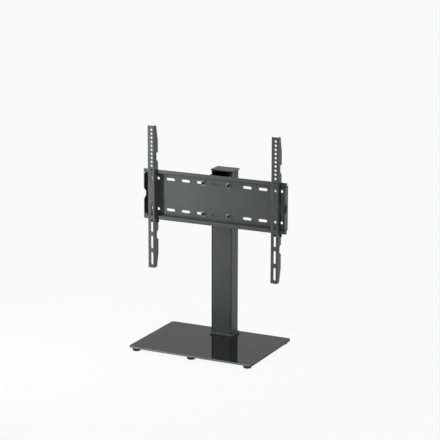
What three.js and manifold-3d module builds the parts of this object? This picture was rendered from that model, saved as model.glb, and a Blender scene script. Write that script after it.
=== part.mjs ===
// Table-top television stand with a slotted mounting plate, a glass base and two hook-on arms.
// Millimetres. +Z is up, +X is to the right and the screen side faces -Y.
// The origin lies on the table, under the middle of the glass.

import * as THREE from 'three';
import { mergeVertices } from 'three/addons/utils/BufferGeometryUtils.js';
import Module from 'manifold-3d';

const wasm = await Module();
wasm.setup();

// Clearances shared by the whole stand
const seatGap = 0.3; // between faces that rest on each other
const fit = 0.35; // between faces that slide past each other
const cutOverrun = 2; // how far every cutter runs past the faces that it opens

// Glass base and its feet
const baseWidth = 400;
const baseDepth = 280;
const glassThickness = 6;
const glassCornerRadius = 12;
const glassArris = 0.8;
const footHeight = 9;
const footRadius = 12.5;
const footTaper = 0.5;
const footDomeHeight = 1.6;
const footSideInset = 20;
const footFrontInset = 15.5;

// Column, a steel channel that is open to the front
const columnWidth = 67;
const columnDepth = 44.5;
const columnSheet = 2;
const columnBend = 1.2;
const columnInset = 43; // from the column's middle to the glass's rear edge
const columnTop = 518.5;

// Clamp that holds the column on the glass
const footPlateThickness = 3;
const gasketThickness = 1;
const clampWidth = 120;
const clampDepth = 76;
const clampThickness = 3;
const clampCornerRadius = 8;
const glassHoleRadius = 4.5;
const baseScrewSpread = 48;
const baseScrewRow = 24;
const baseScrewRadius = 3;
const baseScrewHeadRadius = 5.5;
const baseScrewHeadHeight = 2.6;

// Collar, front cover and cap of the column
const collarOverhang = 4.4;
const collarHeight = 6.8;
const collarWall = 2;
const collarEdge = 1;
const coverSheet = 1.8;
const coverReturn = 12;
const coverBend = 0.6;
const coverTop = 365;
const capOverhang = 3.2;
const capHeight = 3.6;
const capRoof = 2.7;
const capCornerRadius = 4;
const capEdge = 0.9;
const capTabWidth = 16;
const capTabDepth = 8;
const capTabThickness = 1.8;

// Mounting plate, a shallow tray whose edges are turned up and down as rails
const plateWidth = 464;
const plateHeight = 151;
const plateSheet = 2;
const plateBend = 1;
const webHeight = 126.4;
const trayDepth = 15.3;
const plateCentreHeight = 439;
const plateStandOff = 35.25;
const slotPitch = 50;
const slotLength = 27.5;
const slotWidth = 8;
const slotCount = 9;
const slotRowSpacing = 92.6;
const railCornerRadius = 3;
const stopInset = 2.7;
const stopProud = 4.7;
const stopRelief = 1.2;
const stopNotchDepth = 12.5;
const stopNotchMouth = 33;
const stopNotchFloor = 13;
const stopNotchRound = 4;

// Carriage that carries the plate and slides in the column
const carriageSheet = 2;
const carriageBend = 1.2;
const carriageSpan = 98;
const carriageCornerRadius = 3;
const carriageTop = 68;
const carriagePlateFoot = 9;
const carriageRearHeight = 78;
const carriageMouthGap = 2.2;
const carriageShoulder = 6;
const carriageRound = 5;
const plateBoltSpread = 82;
const heightTravel = 60;
const heightBoltSpread = 33;
const heightBoltSpacing = 46;
const heightBoltMargin = 8.5;

// Six-millimetre bolts, washers and nuts
const boltRadius = 3;
const boltHole = 3.4;
const boltHeadRadius = 5.4;
const boltHeadHeight = 4;
const boltHeadRound = 1.4;
const recessLength = 6;
const recessWidth = 1.4;
const recessDepth = 2.2;
const washerRadius = 8.3;
const washerThickness = 1.5;
const nutAcrossFlats = 10;
const nutHeight = 5;
const boltTail = 2;
const heightBoltTail = 14;

// Arms, alike on both sides: a perforated face with a hooked flange on its right and a lip on its left
const armSpacing = 400; // between the arms' lines of holes
const armShift = 1.45; // both arms stand this far to the right of the plate's middle
const armLength = 430;
const armWidth = 22.5;
const armHoleInset = 9.3; // from the flange's outer face to the line of holes
const armLipDepth = 5.5;
const armSheet = 2;
const armBend = 1;
const armStandOff = 13.2;
const armDepth = 23.5;
const armEndDepth = 13.5;
const armTopTaper = 46;
const armBottomTaper = 42;
const armTaperRound = 5;
const armAbovePlate = 132.5;
const armCornerRadius = 2;
const holeRadius = 3.5;
const holePitch = 12;
const holeCount = 15;
const holeFirst = 12;
const armSlotPitch = 50;
const armSlotLength = 38;
const armSlotWidth = 7;
const armSlotCount = 4;
const armSlotLast = 28.6;
const hookReach = 8.2;
const hookLead = 3;
const trayMargin = 2;
const armBoltClearance = 1;
const notchHeight = 20;
const notchDepth = 9.3;
const upperNotchRise = 115.5;
const lowerNotchDrop = 123;
const notchLead = 4;
const notchRamp = 9;
const notchRound = 1.5;

// Lock bolt under the lower rail of each arm
const lockRadius = 2.5;
const lockHeadRadius = 4.6;
const lockHeadHeight = 3.4;
const lockHeadRound = 1.2;
const lockRecessLength = 5;
const lockSleeveRadius = 5.2;
const lockSleeveLength = 20.5;
const lockBore = 2.9;
const lockPlay = 0.8;
const lockSetBack = 3.2;
const lockNutAcrossFlats = 8;
const lockNutHeight = 4;

// How finely round things are cut into facets
const bendSteps = 2;
const filletSteps = 1;
const cornerSteps = 4;
const slotSteps = 3;
const holeSteps = 7;
const hiddenHoleSteps = 5;
const shaftSides = 16;
const footSides = 24;

// Heights and depths worked out from the driving sizes
const columnSetBack = baseDepth / 2 - columnInset;
const glassBottom = footHeight;
const glassTop = glassBottom + glassThickness;
const columnFront = columnSetBack - columnDepth / 2;
const columnBack = columnSetBack + columnDepth / 2;
const footPlateBottom = glassTop + gasketThickness + 2 * seatGap;
const footPlateTop = footPlateBottom + footPlateThickness;
const plateBack = columnFront - plateStandOff;
const plateFront = plateBack - plateSheet;
const railFront = plateFront - trayDepth;
const railBack = railFront + plateSheet;
const railTop = plateHeight / 2;
const webTop = webHeight / 2;
const armFront = railFront - armStandOff;
const armRear = armFront + armDepth;
const armRight = armHoleInset;
const armLeft = armHoleInset - armWidth;
const rowHeight = slotRowSpacing / 2;
const washerFront = plateFront - seatGap - washerThickness;
const boltHeadBack = washerFront - seatGap;
const boltHeadFront = boltHeadBack - boltHeadHeight;
const carriageBack = columnBack - columnSheet - fit;
const carriageBottom = -rowHeight - carriagePlateFoot;
const lockHeight = -railTop - lockPlay - lockSleeveRadius;
const lockDepth = railBack + lockSetBack;

// Finishes
const glassBlack = finish(0x16181a, 0.06, 0.0);
const powderBlack = finish(0x2b2c2e, 0.55, 0.35);
const satinBlack = finish(0x232426, 0.42, 0.3);
const mouldedBlack = finish(0x1d1e20, 0.5, 0.0);
const rubberBlack = finish(0x141414, 0.85, 0.0);
const zincSteel = finish(0x8d9094, 0.35, 0.9);
const blackenedSteel = finish(0x303235, 0.45, 0.8);

function finish(color, roughness, metalness) {
  return new THREE.MeshStandardMaterial({ color, roughness, metalness, flatShading: true });
}

// From a three.js geometry to a closed solid and back
function solidOf(geometry) {
  const bare = geometry.clone();
  bare.deleteAttribute('normal');
  bare.deleteAttribute('uv');
  const merged = mergeVertices(bare);
  return new wasm.Manifold(new wasm.Mesh({
    numProp: 3,
    vertProperties: new Float32Array(merged.attributes.position.array),
    triVerts: new Uint32Array(merged.index.array),
  }));
}

function geometryOf(solid) {
  const mesh = solid.getMesh();
  const geometry = new THREE.BufferGeometry();
  geometry.setAttribute('position', new THREE.BufferAttribute(new Float32Array(mesh.vertProperties), 3));
  geometry.setIndex(new THREE.BufferAttribute(new Uint32Array(mesh.triVerts), 1));
  geometry.computeVertexNormals();
  return geometry;
}

function join(first, ...others) {
  return others.reduce((whole, other) => whole.add(other), first);
}

function cut(first, ...others) {
  return others.reduce((whole, other) => whole.subtract(other), first);
}

// A flat outline pushed along one axis, from one place to another.
// Along x the outline is drawn in y and z, along y in x and z, and along z in x and y.
function pushAlong(axis, outline, from, to, steps = bendSteps) {
  const low = Math.min(from, to);
  const high = Math.max(from, to);
  const geometry = new THREE.ExtrudeGeometry(outline, {
    depth: high - low, bevelEnabled: false, curveSegments: steps,
  });
  const turn = new THREE.Matrix4();
  const x = new THREE.Vector3(1, 0, 0);
  const y = new THREE.Vector3(0, 1, 0);
  const z = new THREE.Vector3(0, 0, 1);
  if (axis === 'x') turn.makeBasis(y, z, x).setPosition(low, 0, 0);
  if (axis === 'y') turn.makeBasis(x, z, y.clone().negate()).setPosition(0, high, 0);
  if (axis === 'z') turn.makeBasis(x, y, z).setPosition(0, 0, low);
  return solidOf(geometry.applyMatrix4(turn));
}

// An outline through corners given as [across, up, radius], with each corner rounded to its radius
function roundedOutline(corners) {
  const outline = new THREE.Shape();
  corners.forEach(([across, up, radius = 0], i) => {
    const here = new THREE.Vector2(across, up);
    const before = corners[(i + corners.length - 1) % corners.length];
    const after = corners[(i + 1) % corners.length];
    const back = new THREE.Vector2(before[0], before[1]).sub(here).normalize();
    const ahead = new THREE.Vector2(after[0], after[1]).sub(here).normalize();
    const half = Math.acos(THREE.MathUtils.clamp(back.dot(ahead), -1, 1)) / 2;
    if (radius === 0) {
      if (i === 0) outline.moveTo(across, up);
      else outline.lineTo(across, up);
      return;
    }
    const run = radius / Math.tan(half);
    const start = back.clone().multiplyScalar(run).add(here);
    const middle = back.clone().add(ahead).normalize().multiplyScalar(radius / Math.sin(half)).add(here);
    const end = ahead.clone().multiplyScalar(run).add(here);
    const clockwise = back.cross(ahead) > 0;
    if (i === 0) outline.moveTo(start.x, start.y);
    else outline.lineTo(start.x, start.y);
    const from = Math.atan2(start.y - middle.y, start.x - middle.x);
    const to = Math.atan2(end.y - middle.y, end.x - middle.x);
    outline.absarc(middle.x, middle.y, radius, from, to, clockwise);
  });
  outline.closePath();
  return outline;
}

function rectangle(left, right, low, high, radius = 0) {
  return roundedOutline([
    [left, low, radius], [right, low, radius], [right, high, radius], [left, high, radius],
  ]);
}

function circle(across, up, radius) {
  const outline = new THREE.Shape();
  outline.absarc(across, up, radius, 0, 2 * Math.PI, false);
  return outline;
}

// A slot with round ends that lies across or stands up
function slotOutline(across, up, width, height) {
  const radius = Math.min(width, height) / 2;
  const reach = Math.max(width, height) / 2 - radius;
  const flat = width >= height;
  const outline = new THREE.Shape();
  const ends = [1, -1];
  ends.forEach((side) => {
    const x = across + (flat ? side * reach : 0);
    const y = up + (flat ? 0 : side * reach);
    const start = (flat ? -Math.PI / 2 : 0) + (side < 0 ? Math.PI : 0);
    outline.absarc(x, y, radius, start, start + Math.PI, false);
  });
  outline.closePath();
  return outline;
}

// The section of a folded sheet that follows a path through its middle
function foldedSheet(path, thickness, bend) {
  const left = [];
  const right = [];
  path.forEach(([x, y], i) => {
    const here = new THREE.Vector2(x, y);
    const last = i > 0 ? here.clone().sub(new THREE.Vector2(...path[i - 1])).normalize() : null;
    const next = i < path.length - 1 ? new THREE.Vector2(...path[i + 1]).sub(here).normalize() : null;
    const inward = last ?? next;
    const outward = next ?? last;
    const turn = inward.cross(outward);
    const normal = new THREE.Vector2(-inward.y - outward.y, inward.x + outward.x).normalize();
    const reach = thickness / 2 / normal.dot(new THREE.Vector2(-inward.y, inward.x));
    const corner = last && next;
    const innerRadius = corner ? bend : 0;
    const outerRadius = corner ? bend + thickness : 0;
    const leftRadius = turn > 0 ? innerRadius : outerRadius;
    const rightRadius = turn > 0 ? outerRadius : innerRadius;
    left.push([x + normal.x * reach, y + normal.y * reach, leftRadius]);
    right.unshift([x - normal.x * reach, y - normal.y * reach, rightRadius]);
  });
  return roundedOutline([...left, ...right]);
}

// A turned piece: its outline goes from the axis and back to it, along +Z
function turned(points, sides) {
  const lathe = new THREE.LatheGeometry(points.map(([r, z]) => new THREE.Vector2(r, z)), sides);
  return solidOf(lathe.rotateX(Math.PI / 2));
}

const stand = new THREE.Group();

function addPiece(name, solid, material, parent, position = [0, 0, 0], rotation = [0, 0, 0]) {
  const mesh = new THREE.Mesh(geometryOf(solid), material);
  mesh.name = name;
  mesh.position.set(...position);
  mesh.rotation.set(...rotation);
  parent.add(mesh);
}

// Places of the four height bolts, in x and z, and of the four base screws, in x and y
const heightBoltPlaces = [0, 1].flatMap((row) => [-1, 1].map((hand) => [
  hand * heightBoltSpread / 2, carriageTop - heightBoltMargin - row * heightBoltSpacing,
]));
const baseScrewPlaces = [-1, 1].flatMap((row) => [-1, 1].map((side) => [
  side * baseScrewSpread / 2, columnSetBack + row * baseScrewRow / 2,
]));

// Tempered glass base with ground and polished edges
function glassBase() {
  const outline = rectangle(
    -baseWidth / 2 + glassArris, baseWidth / 2 - glassArris,
    -baseDepth / 2 + glassArris, baseDepth / 2 - glassArris, glassCornerRadius - glassArris,
  );
  const sheet = new THREE.ExtrudeGeometry(outline, {
    depth: glassThickness - 2 * glassArris,
    bevelEnabled: true,
    bevelThickness: glassArris,
    bevelSize: glassArris,
    bevelSegments: 1,
    curveSegments: cornerSteps,
  });
  sheet.translate(0, 0, glassBottom + glassArris);
  const holes = baseScrewPlaces.map(([x, y]) => pushAlong(
    'z', circle(x, y, glassHoleRadius), glassBottom - cutOverrun, glassTop + cutOverrun, hiddenHoleSteps,
  ));
  return cut(solidOf(sheet), ...holes);
}

// Rubber foot, a tapered disc with a soft edge, glued under the glass
function rubberFoot() {
  const low = footRadius - footTaper;
  const top = footHeight - seatGap;
  return turned([
    [0, 0], [low - footDomeHeight, 0], [low, footDomeHeight], [footRadius, top], [0, top],
  ], footSides);
}

// Steel channel with two height slots in its back, welded to a foot plate
function columnChannel() {
  const side = columnWidth / 2 - columnSheet / 2;
  const back = columnBack - columnSheet / 2;
  const section = foldedSheet([
    [-side, columnFront], [-side, back], [side, back], [side, columnFront],
  ], columnSheet, columnBend);
  const channel = pushAlong('z', section, footPlateBottom, columnTop);
  const reach = collarOverhang - collarWall - fit;
  const footPlate = pushAlong('z', rectangle(
    -columnWidth / 2 - reach, columnWidth / 2 + reach, columnFront - reach, columnBack + reach, columnBend,
  ), footPlateBottom, footPlateTop);
  const screwHoles = baseScrewPlaces.map(([x, y]) => pushAlong(
    'z', circle(x, y, baseScrewRadius + fit), footPlateBottom - cutOverrun, footPlateTop + cutOverrun,
    hiddenHoleSteps,
  ));
  const highest = plateCentreHeight + carriageTop - heightBoltMargin;
  const lowest = highest - heightBoltSpacing - heightTravel;
  const slots = [-1, 1].map((hand) => pushAlong(
    'y',
    slotOutline(
      hand * heightBoltSpread / 2, (highest + lowest) / 2, 2 * boltHole, highest - lowest + 2 * boltHole,
    ),
    columnBack - columnSheet - cutOverrun, columnBack + cutOverrun, slotSteps,
  ));
  return cut(join(channel, footPlate), ...screwHoles, ...slots);
}

// Snap-in cover that closes the front of the channel below the plate
function frontCover() {
  const side = columnWidth / 2 - columnSheet - fit - coverSheet / 2;
  const face = columnFront + coverSheet / 2;
  const section = foldedSheet([
    [-side, face + coverReturn], [-side, face], [side, face], [side, face + coverReturn],
  ], coverSheet, coverBend);
  return pushAlong('z', section, footPlateTop + seatGap, coverTop);
}

// Moulded collar that hides the foot plate
function footCollar() {
  const outer = collarOverhang;
  const inner = collarOverhang - collarWall;
  const low = glassTop + seatGap;
  const high = low + collarHeight;
  const around = (reach, radius) => rectangle(
    -columnWidth / 2 - reach, columnWidth / 2 + reach, columnFront - reach, columnBack + reach, radius,
  );
  const body = pushAlong('z', around(outer, collarWall + columnBend), low, high - collarEdge);
  const lid = pushAlong(
    'z', around(outer - collarEdge, collarWall + columnBend - collarEdge), high - collarEdge, high,
  );
  const cavity = pushAlong('z', around(inner, columnBend), low - cutOverrun, high - collarWall);
  const opening = pushAlong('z', around(fit, columnBend), low, high + cutOverrun);
  return cut(join(body, lid), cavity, opening);
}

// Moulded cap with a stepped edge and two tabs that grip inside the channel
function topCap() {
  const low = columnTop + seatGap + capRoof - capHeight;
  const high = low + capHeight;
  const around = (reach, radius) => rectangle(
    -columnWidth / 2 - reach, columnWidth / 2 + reach, columnFront - reach, columnBack + reach, radius,
  );
  const body = pushAlong('z', around(capOverhang, capCornerRadius), low, high - capEdge);
  const lid = pushAlong('z', around(capOverhang - capEdge, capCornerRadius - capEdge), high - capEdge, high);
  const socket = pushAlong('z', around(fit, columnBend), low - cutOverrun, columnTop + seatGap);
  const tabOuter = columnWidth / 2 - columnSheet - fit;
  const tabs = [-1, 1].map((hand) => pushAlong('z', rectangle(
    hand < 0 ? -tabOuter : tabOuter - capTabThickness,
    hand < 0 ? -tabOuter + capTabThickness : tabOuter,
    columnSetBack - capTabWidth / 2, columnSetBack + capTabWidth / 2,
  ), high - capHeight - capTabDepth + capRoof, high - capEdge));
  return join(cut(join(body, lid), socket), ...tabs);
}

// Steel plate and rubber pads that clamp the glass
function pad(width, depth, low, high, radius, screwHole) {
  const outline = rectangle(
    -width / 2, width / 2, columnSetBack - depth / 2, columnSetBack + depth / 2, radius,
  );
  const holes = baseScrewPlaces.map(([x, y]) => pushAlong(
    'z', circle(x, y, screwHole), low - cutOverrun, high + cutOverrun, hiddenHoleSteps,
  ));
  return cut(pushAlong('z', outline, low, high), ...holes);
}

// The mounting plate: a tray folded from one sheet, with rails, slots and end stops
function mountingPlate() {
  const webMiddle = plateBack - plateSheet / 2;
  const railMiddle = railFront + plateSheet / 2;
  const flange = webTop + plateSheet / 2;
  const section = foldedSheet([
    [railMiddle, -railTop], [railMiddle, -flange], [webMiddle, -flange],
    [webMiddle, flange], [railMiddle, flange], [railMiddle, railTop],
  ], plateSheet, plateBend);
  const tray = pushAlong('x', section, -plateWidth / 2, plateWidth / 2);
  const face = pushAlong('y', rectangle(
    -plateWidth / 2, plateWidth / 2, -railTop, railTop, railCornerRadius,
  ), railFront - cutOverrun, plateBack + cutOverrun);
  const stopOuter = plateWidth / 2 - stopInset;
  const stopHeight = webTop - stopRelief;
  const behindRails = (height, from) => [-1, 1].map((hand) => pushAlong('x', rectangle(
    railBack + fit, plateBack + cutOverrun, -height, height,
  ), hand * from, hand * (plateWidth / 2 + cutOverrun)));
  const webEnds = behindRails(stopHeight + stopRelief / 2, stopOuter - plateSheet - plateBend);
  const shelfEnds = behindRails(webTop + plateSheet + plateBend, stopOuter);
  const stopMiddle = stopOuter - plateSheet / 2;
  const stopFront = railFront - stopProud;
  const stops = foldedSheet([
    [-stopMiddle, stopFront], [-stopMiddle, webMiddle], [stopMiddle, webMiddle], [stopMiddle, stopFront],
  ], plateSheet, plateBend);
  const web = pushAlong('z', stops, -stopHeight, stopHeight);
  const notch = pushAlong('x', roundedOutline([
    [stopFront - cutOverrun, -stopNotchMouth / 2],
    [stopFront, -stopNotchMouth / 2],
    [stopFront + stopNotchDepth, -stopNotchFloor / 2, stopNotchRound],
    [stopFront + stopNotchDepth, stopNotchFloor / 2, stopNotchRound],
    [stopFront, stopNotchMouth / 2],
    [stopFront - cutOverrun, stopNotchMouth / 2],
  ]), -plateWidth / 2, plateWidth / 2, slotSteps);
  const slots = [-1, 1].flatMap((row) => Array.from({ length: slotCount }, (_, i) => pushAlong(
    'y',
    slotOutline((i - (slotCount - 1) / 2) * slotPitch, row * rowHeight, slotLength, slotWidth),
    plateFront - cutOverrun, plateBack + cutOverrun, slotSteps,
  )));
  const folded = join(cut(tray.intersect(face), ...webEnds, ...shelfEnds), cut(web, notch));
  return cut(folded, ...slots);
}

// The carriage: a flat plate, welded to the front edges of a channel that reaches the column's back
function carriageBracket() {
  const side = columnWidth / 2 - columnSheet - fit - carriageSheet / 2;
  const front = plateBack + seatGap + carriageSheet / 2;
  const back = carriageBack - carriageSheet / 2;
  const section = foldedSheet([
    [-side, front], [-side, back], [side, back], [side, front],
  ], carriageSheet, carriageBend);
  const channel = pushAlong('z', section, carriageBottom, carriageTop);
  const frontPlate = pushAlong('y', rectangle(
    -carriageSpan / 2, carriageSpan / 2, carriageBottom, carriageTop, carriageCornerRadius,
  ), front - carriageSheet / 2, front + carriageSheet / 2);
  const mouth = columnFront - carriageMouthGap;
  const rearBottom = carriageTop - carriageRearHeight;
  const profile = pushAlong('x', roundedOutline([
    [plateBack, carriageBottom],
    [front + carriageShoulder, carriageBottom, carriageRound],
    [mouth, rearBottom, carriageRound],
    [columnBack, rearBottom],
    [columnBack, carriageTop],
    [plateBack, carriageTop],
  ]), -columnWidth / 2, columnWidth / 2, slotSteps);
  const plateHoles = [-1, 1].flatMap((row) => [-1, 1].map((hand) => pushAlong(
    'y', circle(hand * plateBoltSpread / 2, row * rowHeight, boltHole),
    plateBack - cutOverrun, front + carriageSheet + cutOverrun, hiddenHoleSteps,
  )));
  const heightHoles = heightBoltPlaces.map(([x, z]) => pushAlong(
    'y', circle(x, z, boltHole), carriageBack - carriageSheet - cutOverrun, columnBack, hiddenHoleSteps,
  ));
  return cut(join(channel.intersect(profile), frontPlate), ...plateHoles, ...heightHoles);
}

// Pan-head bolt along +Z, with its head below z = 0 and a cross recess in it
function panBolt(radius, length, headRadius, headHeight, headRound, recess) {
  const body = turned([
    [0, -headHeight], [headRadius - headRound, -headHeight], [headRadius, -headHeight + headRound],
    [headRadius, 0], [radius, 0], [radius, length], [0, length],
  ], shaftSides);
  const arms = [[recess, recessWidth], [recessWidth, recess]].map(([x, y]) => pushAlong(
    'z', rectangle(-x / 2, x / 2, -y / 2, y / 2), -headHeight - cutOverrun, -headHeight + recessDepth,
  ));
  return cut(body, ...arms);
}

function ring(outerRadius, innerRadius, low, high) {
  const outline = circle(0, 0, outerRadius);
  outline.holes.push(circle(0, 0, innerRadius));
  return pushAlong('z', outline, low, high, shaftSides / 2);
}

// Hexagon nut that stands on z = 0
function hexNut(acrossFlats, bore, height) {
  const corner = acrossFlats / Math.sqrt(3);
  const outline = new THREE.Shape(Array.from({ length: 6 }, (_, i) => new THREE.Vector2(
    corner * Math.cos(i * Math.PI / 3), corner * Math.sin(i * Math.PI / 3),
  )));
  outline.holes.push(circle(0, 0, bore));
  return pushAlong('z', outline, 0, height, hiddenHoleSteps);
}

// Side outline of an arm: hooks over the upper rail, a gate for the lower rail, and tapered ends
function armSideOutline() {
  const top = railTop + armAbovePlate;
  const bottom = top - armLength;
  const trayRear = boltHeadFront - armBoltClearance;
  const railClear = railFront - fit;
  const hookFront = railBack + fit;
  const notchFloor = armRear - notchDepth;
  const upper = upperNotchRise;
  const lower = -lowerNotchDrop;
  const half = notchHeight / 2;
  return roundedOutline([
    [armFront, bottom],
    [armFront + armEndDepth, bottom, notchRound],
    [armRear, bottom + armBottomTaper, armTaperRound],
    [armRear, lower - half - notchLead, notchRound],
    [notchFloor, lower - half, notchRound],
    [notchFloor, lower + half, notchRound],
    [armRear, lower + half + notchLead, notchRound],
    [armRear, -railTop - fit, notchRound],
    [railClear, -railTop - fit],
    [railClear, -webTop + trayMargin],
    [trayRear, -webTop + trayMargin, notchRound],
    [trayRear, webTop - trayMargin, notchRound],
    [railClear, webTop - trayMargin],
    [railClear, railTop + seatGap],
    [hookFront, railTop + seatGap],
    [hookFront, railTop - hookReach],
    [armRear - hookLead, railTop - hookReach, notchRound],
    [armRear, railTop - hookReach + hookLead, notchRound],
    [armRear, upper - half - notchRamp, notchRound],
    [notchFloor, upper - half, notchRound],
    [notchFloor, upper + half, notchRound],
    [armRear, upper + half, notchRound],
    [armRear, top - armTopTaper, armTaperRound],
    [armFront + armEndDepth, top, notchRound],
    [armFront, top],
  ]);
}

// One arm: a folded strip cut to its side outline and perforated for the screen's screws
function screenArm() {
  const lip = armLeft + armSheet / 2;
  const flange = armRight - armSheet / 2;
  const face = armFront + armSheet / 2;
  const top = railTop + armAbovePlate;
  const bottom = top - armLength;
  const section = foldedSheet([
    [lip, armFront + armLipDepth], [lip, face], [flange, face], [flange, armRear],
  ], armSheet, armBend);
  const strip = pushAlong('z', section, bottom, top);
  const outline = pushAlong(
    'x', armSideOutline(), armLeft - cutOverrun, armRight + cutOverrun, filletSteps,
  );
  const frontEnds = pushAlong('y', rectangle(
    armLeft, armRight, bottom, top, armCornerRadius,
  ), armFront - cutOverrun, armRear + cutOverrun);
  const through = [armFront - cutOverrun, armFront + armSheet + cutOverrun];
  const holes = Array.from({ length: holeCount }, (_, i) => pushAlong(
    'y', circle(0, top - holeFirst - i * holePitch, holeRadius), ...through, holeSteps,
  ));
  const slots = Array.from({ length: armSlotCount }, (_, i) => pushAlong(
    'y', slotOutline(0, bottom + armSlotLast + i * armSlotPitch, armSlotWidth, armSlotLength),
    ...through, slotSteps,
  ));
  const lockHole = pushAlong(
    'x', circle(lockDepth, lockHeight, lockBore), armRight - armSheet - cutOverrun, armRight + cutOverrun,
    hiddenHoleSteps,
  );
  return cut(strip.intersect(outline).intersect(frontEnds), ...holes, ...slots, lockHole);
}

// Base: glass, feet and the clamp under the column
addPiece('glass_base', glassBase(), glassBlack, stand);

const footX = baseWidth / 2 - footSideInset;
const footY = baseDepth / 2 - footFrontInset;
const feet = {
  front_left_foot: [-footX, -footY],
  front_centre_foot: [0, -footY],
  front_right_foot: [footX, -footY],
  rear_left_foot: [-footX, footY],
  rear_right_foot: [footX, footY],
};
Object.entries(feet).forEach(([name, [x, y]]) => {
  addPiece(name, rubberFoot(), rubberBlack, stand, [x, y, 0]);
});

const gasketReach = 2 * (collarOverhang - collarWall - fit);
addPiece('upper_gasket', pad(
  columnWidth + gasketReach, columnDepth + gasketReach,
  glassTop + seatGap, glassTop + seatGap + gasketThickness, columnBend, glassHoleRadius,
), rubberBlack, stand);
const lowerGasketTop = glassBottom - seatGap;
addPiece('lower_gasket', pad(
  clampWidth, clampDepth, lowerGasketTop - gasketThickness, lowerGasketTop,
  clampCornerRadius, glassHoleRadius,
), rubberBlack, stand);
const clampTop = lowerGasketTop - gasketThickness - seatGap;
const clampBottom = clampTop - clampThickness;
addPiece('clamp_plate', pad(
  clampWidth, clampDepth, clampBottom, clampTop, clampCornerRadius, baseScrewRadius + fit,
), powderBlack, stand);

const baseScrewSeat = clampBottom - seatGap;
const baseScrewLength = footPlateTop - baseScrewSeat;
baseScrewPlaces.forEach(([x, y], i) => {
  const screw = panBolt(
    baseScrewRadius, baseScrewLength, baseScrewHeadRadius, baseScrewHeadHeight, boltHeadRound, recessLength,
  );
  addPiece(`base_screw_${i + 1}`, screw, zincSteel, stand, [x, y, baseScrewSeat]);
});

// Column with its cover, collar and cap
addPiece('column', columnChannel(), satinBlack, stand);
addPiece('front_cover', frontCover(), mouldedBlack, stand);
addPiece('foot_collar', footCollar(), mouldedBlack, stand);
addPiece('top_cap', topCap(), mouldedBlack, stand);

// Lift: everything that goes up and down the column, drawn from the middle of the plate
const lift = new THREE.Group();
lift.position.z = plateCentreHeight;
stand.add(lift);
addPiece('carriage_bracket', carriageBracket(), powderBlack, lift);
addPiece('mounting_plate', mountingPlate(), powderBlack, lift);

const towardsBack = [-Math.PI / 2, 0, 0];
const towardsFront = [Math.PI / 2, 0, 0];
const plateNutFront = plateBack + seatGap + carriageSheet + seatGap;
const plateBoltLength = plateNutFront + nutHeight + boltTail - boltHeadBack;
const platePlaces = [1, -1].flatMap((row) => [-1, 1].map((hand) => [
  hand * plateBoltSpread / 2, row * rowHeight,
]));
platePlaces.forEach(([x, z], i) => {
  const bolt = panBolt(
    boltRadius, plateBoltLength, boltHeadRadius, boltHeadHeight, boltHeadRound, recessLength,
  );
  addPiece(`plate_bolt_${i + 1}`, bolt, blackenedSteel, lift, [x, boltHeadBack, z], towardsBack);
  const washer = ring(washerRadius, boltHole, 0, washerThickness);
  addPiece(`plate_washer_${i + 1}`, washer, zincSteel, lift, [x, washerFront, z], towardsBack);
  const nut = hexNut(nutAcrossFlats, boltHole, nutHeight);
  addPiece(`plate_nut_${i + 1}`, nut, zincSteel, lift, [x, plateNutFront, z], towardsBack);
});

// Height bolts come in from the back, through the column's slots, into nuts inside the carriage
const heightWasherBack = columnBack + seatGap + washerThickness;
const heightHeadFront = heightWasherBack + seatGap;
const heightNutBack = carriageBack - carriageSheet - seatGap;
const heightBoltLength = heightHeadFront - heightNutBack + nutHeight + heightBoltTail;
heightBoltPlaces.forEach(([x, z], i) => {
  const bolt = panBolt(
    boltRadius, heightBoltLength, boltHeadRadius, boltHeadHeight, boltHeadRound, recessLength,
  );
  addPiece(`height_bolt_${i + 1}`, bolt, blackenedSteel, lift, [x, heightHeadFront, z], towardsFront);
  const washer = ring(washerRadius, boltHole, 0, washerThickness);
  addPiece(`height_washer_${i + 1}`, washer, zincSteel, lift, [x, heightWasherBack, z], towardsFront);
  const nut = hexNut(nutAcrossFlats, boltHole, nutHeight);
  addPiece(`height_nut_${i + 1}`, nut, zincSteel, lift, [x, heightNutBack, z], towardsFront);
});

// Arms with their lock bolts, which go through the flange and a sleeve into a nut
const lockSeat = armRight + seatGap;
const sleeveSeat = armRight - armSheet - seatGap;
const lockNutSeat = sleeveSeat - lockSleeveLength - seatGap;
const lockLength = lockSeat - lockNutSeat + lockNutHeight + boltTail;
const towardsLeft = [0, -Math.PI / 2, 0];
const lockAt = (x) => [x, lockDepth, lockHeight];
['left', 'right'].forEach((hand, i) => {
  const arm = new THREE.Group();
  arm.position.x = (i - 1 / 2) * armSpacing + armShift;
  lift.add(arm);
  addPiece(`${hand}_arm`, screenArm(), powderBlack, arm);
  const bolt = panBolt(
    lockRadius, lockLength, lockHeadRadius, lockHeadHeight, lockHeadRound, lockRecessLength,
  );
  addPiece(`${hand}_lock_bolt`, bolt, blackenedSteel, arm, lockAt(lockSeat), towardsLeft);
  const sleeve = ring(lockSleeveRadius, lockBore, 0, lockSleeveLength);
  addPiece(`${hand}_lock_sleeve`, sleeve, blackenedSteel, arm, lockAt(sleeveSeat), towardsLeft);
  const nut = hexNut(lockNutAcrossFlats, lockBore, lockNutHeight);
  addPiece(`${hand}_lock_nut`, nut, blackenedSteel, arm, lockAt(lockNutSeat), towardsLeft);
});

export default stand;
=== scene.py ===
# Table-top television stand: a glass base on rubber feet, a steel column with a snap-in cover,
# a slotted mounting plate that changes height, and two perforated arms that hook over its rails.
# Shapes are drawn in millimetres, and each finished piece is turned into metres.

import math

import bmesh
import bpy
from mathutils import Matrix, Vector


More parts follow.
